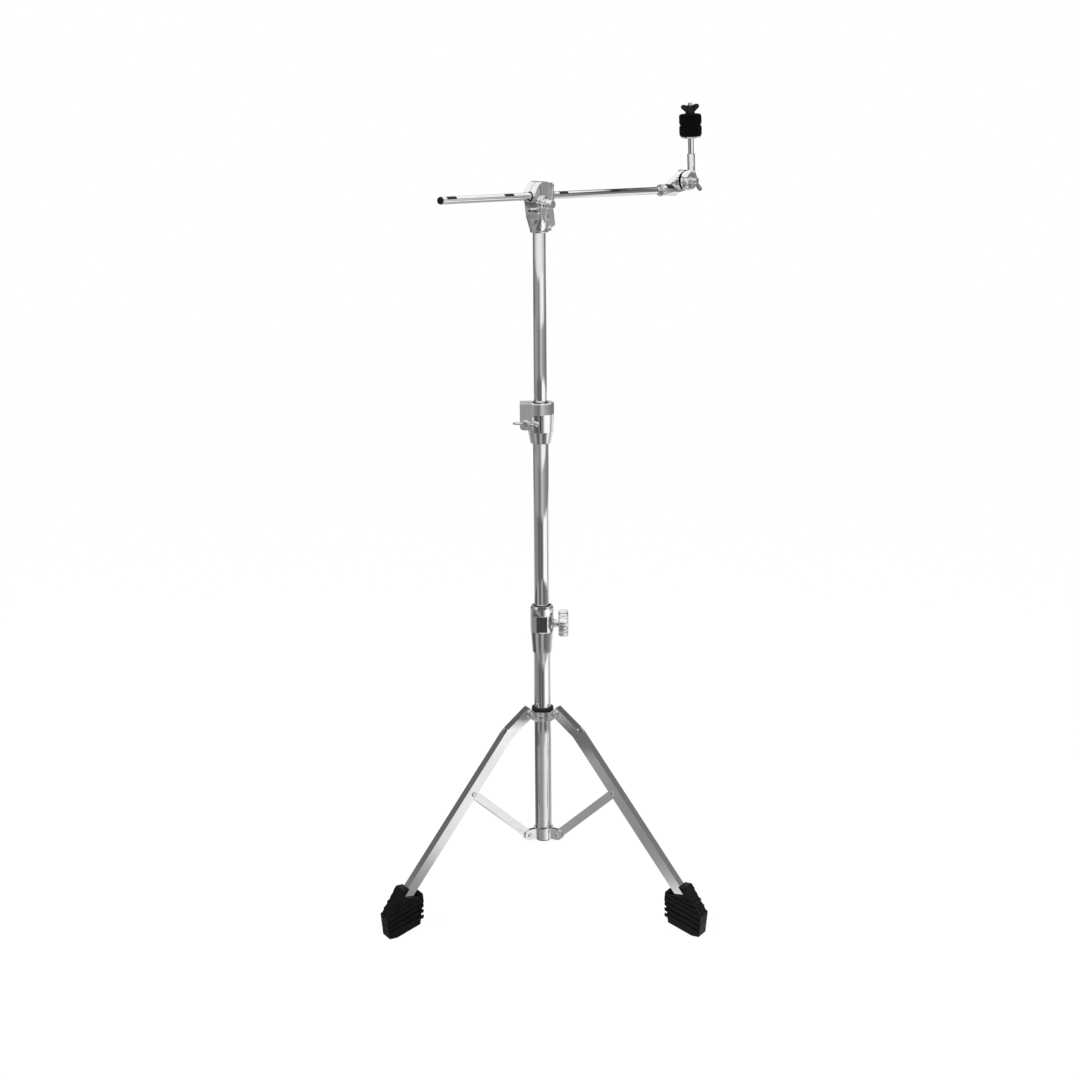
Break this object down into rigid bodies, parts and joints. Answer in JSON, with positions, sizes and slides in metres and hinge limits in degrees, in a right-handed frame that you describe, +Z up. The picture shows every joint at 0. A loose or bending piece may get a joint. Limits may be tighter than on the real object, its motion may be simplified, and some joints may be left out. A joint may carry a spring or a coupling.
{
  "type": "cymbal boom stand",
  "caption": "Folding tripod stand with telescoping tubes, a tilting sliding boom arm and a cymbal tilter with felts and a wing nut.",
  "frame": {"origin": "on the floor, below the middle of the stand's bounding box; the column's axis stands at x = -0.0045, y = -0.0701", "axes": "+Z up along the column, -Y to the front, where two of the three feet point; the boom rises from the front left to the back right"},
  "size_m": [0.5752, 0.4962, 1.39],
  "materials": {
    "chrome": "mirror chrome plate",
    "bright_steel": "bright zinc plated steel",
    "rubber": "matt moulded rubber",
    "black_nylon": "moulded nylon",
    "felt": "pressed wool felt",
    "black_plastic": "moulded plastic"
  },
  "bodies": {
    "base": {"base_tube": "chrome", "base_plug": "rubber", "lower_hub": "chrome", "hub_rivet_1a": "bright_steel", "hub_rivet_1b": "bright_steel", "hub_rivet_2a": "bright_steel", "hub_rivet_2b": "bright_steel", "hub_rivet_3a": "bright_steel", "hub_rivet_3b": "bright_steel", "lower_clamp": "chrome"},
    "knob": {"clamp_knob": "chrome"},
    "collar": {"leg_collar": "chrome", "collar_bush": "black_nylon", "collar_screw": "bright_steel", "leg_pin_1": "bright_steel", "leg_pin_2": "bright_steel", "leg_pin_3": "bright_steel"},
    "back_leg": {"leg_1": "chrome", "brace_pin_1": "bright_steel", "foot_1": "rubber"},
    "left_leg": {"leg_2": "chrome", "brace_pin_2": "bright_steel", "foot_2": "rubber"},
    "right_leg": {"leg_3": "chrome", "brace_pin_3": "bright_steel", "foot_3": "rubber"},
    "back_brace": {"brace_1": "chrome"},
    "left_brace": {"brace_2": "chrome"},
    "right_brace": {"brace_3": "chrome"},
    "middle_swivel": {"lower_bush": "black_nylon"},
    "middle": {"middle_tube": "chrome", "middle_clamp": "chrome", "middle_clamp_bolt": "bright_steel"},
    "middle_nut": {"middle_wing_nut": "chrome"},
    "upper_swivel": {"upper_bush": "black_nylon"},
    "upper": {"upper_tube": "chrome", "boom_yoke": "chrome", "yoke_screw": "bright_steel"},
    "holder": {"holder_rear": "chrome", "holder_front": "chrome", "hinge_bolt": "bright_steel"},
    "boom_nut": {"boom_wing_nut": "chrome"},
    "arm_swivel": {"arm_liner": "black_nylon"},
    "arm": {"boom_arm": "chrome", "arm_cap": "black_plastic", "tilter_socket": "chrome", "socket_screw": "bright_steel", "tilter_bolt": "bright_steel"},
    "tilter_nut": {"tilter_wing_nut": "chrome"},
    "tilter": {"tilter_head": "chrome", "cymbal_rod": "bright_steel", "cymbal_seat": "chrome", "lower_felt": "felt", "upper_felt": "felt"},
    "top_nut": {"top_wing_nut": "black_plastic"}
  },
  "joints": [
    {"name": "collar_slide", "type": "slide", "parent": "base", "child": "collar", "axis": [0, 0, 1], "range_m": [0, 0.085]},
    {"name": "back_leg_fold", "type": "hinge", "parent": "collar", "child": "back_leg", "pos_m": [-0.0045, -0.0421, 0.35588], "axis": [-1, 0, 0], "range_deg": [0, 28.1]},
    {"name": "left_leg_fold", "type": "hinge", "parent": "collar", "child": "left_leg", "pos_m": [-0.02875, -0.0841, 0.35588], "axis": [0.5, -0.866, 0], "range_deg": [0, 28.1]},
    {"name": "right_leg_fold", "type": "hinge", "parent": "collar", "child": "right_leg", "pos_m": [0.01975, -0.0841, 0.35588], "axis": [0.5, 0.866, 0], "range_deg": [0, 28.1]},
    {"name": "back_brace_fold", "type": "hinge", "parent": "back_leg", "child": "back_brace", "pos_m": [-0.0045, 0.07302, 0.22936], "axis": [-1, 0, 0], "range_deg": [-61.4, 0]},
    {"name": "left_brace_fold", "type": "hinge", "parent": "left_leg", "child": "left_brace", "pos_m": [-0.12845, -0.14166, 0.22936], "axis": [0.5, -0.866, 0], "range_deg": [-61.4, 0]},
    {"name": "right_brace_fold", "type": "hinge", "parent": "right_leg", "child": "right_brace", "pos_m": [0.11945, -0.14166, 0.22936], "axis": [0.5, 0.866, 0], "range_deg": [-61.4, 0]},
    {"name": "knob_turn", "type": "hinge", "parent": "base", "child": "knob", "pos_m": [0.0155, -0.0701, 0.515], "axis": [1, 0, 0], "continuous": true},
    {"name": "middle_tube_turn", "type": "hinge", "parent": "base", "child": "middle_swivel", "pos_m": [-0.0045, -0.0701, 0.525], "axis": [0, 0, 1], "continuous": true},
    {"name": "middle_tube_slide", "type": "slide", "parent": "middle_swivel", "child": "middle", "axis": [0, 0, 1], "range_m": [-0.27, 0.04]},
    {"name": "middle_nut_turn", "type": "hinge", "parent": "middle", "child": "middle_nut", "pos_m": [-0.03, -0.0884, 0.872], "axis": [0, -1, 0], "continuous": true},
    {"name": "upper_tube_turn", "type": "hinge", "parent": "middle", "child": "upper_swivel", "pos_m": [-0.0045, -0.0701, 0.885], "axis": [0, 0, 1], "continuous": true},
    {"name": "upper_tube_slide", "type": "slide", "parent": "upper_swivel", "child": "upper", "axis": [0, 0, 1], "range_m": [-0.27, 0.03]},
    {"name": "boom_tilt", "type": "hinge", "parent": "upper", "child": "holder", "pos_m": [-0.0045, -0.0701, 1.239], "axis": [-0.7431, 0.6691, 0], "range_deg": [-55, 55]},
    {"name": "boom_nut_turn", "type": "hinge", "parent": "holder", "child": "boom_nut", "pos_m": [0.00969, -0.08288, 1.239], "axis": [0.7431, -0.6691, 0], "continuous": true},
    {"name": "arm_turn", "type": "hinge", "parent": "holder", "child": "arm_swivel", "pos_m": [-0.00421, -0.06978, 1.25149], "axis": [0.6687, 0.7427, -0.0349], "continuous": true},
    {"name": "arm_slide", "type": "slide", "parent": "arm_swivel", "child": "arm", "axis": [0.6687, 0.7427, -0.0349], "range_m": [-0.18, 0.18]},
    {"name": "tilter_nut_turn", "type": "hinge", "parent": "arm", "child": "tilter_nut", "pos_m": [0.26974, 0.21415, 1.25373], "axis": [0.7431, -0.6691, 0], "continuous": true},
    {"name": "tilter_tilt", "type": "hinge", "parent": "arm", "child": "tilter", "pos_m": [0.25963, 0.22325, 1.25373], "axis": [-0.7431, 0.6691, 0], "range_deg": [-60, 60]},
    {"name": "top_nut_turn", "type": "hinge", "parent": "tilter", "child": "top_nut", "pos_m": [0.265, 0.2183, 1.37009], "axis": [-0.035, -0.0389, 0.9986], "continuous": true}
  ],
  "couplings": [
    {"joint": "back_leg_fold", "follows": "collar_slide", "rad_per_m": 5.769},
    {"joint": "left_leg_fold", "follows": "collar_slide", "rad_per_m": 5.769},
    {"joint": "right_leg_fold", "follows": "collar_slide", "rad_per_m": 5.769},
    {"joint": "back_brace_fold", "follows": "collar_slide", "rad_per_m": -12.6},
    {"joint": "left_brace_fold", "follows": "collar_slide", "rad_per_m": -12.6},
    {"joint": "right_brace_fold", "follows": "collar_slide", "rad_per_m": -12.6}
  ]
}
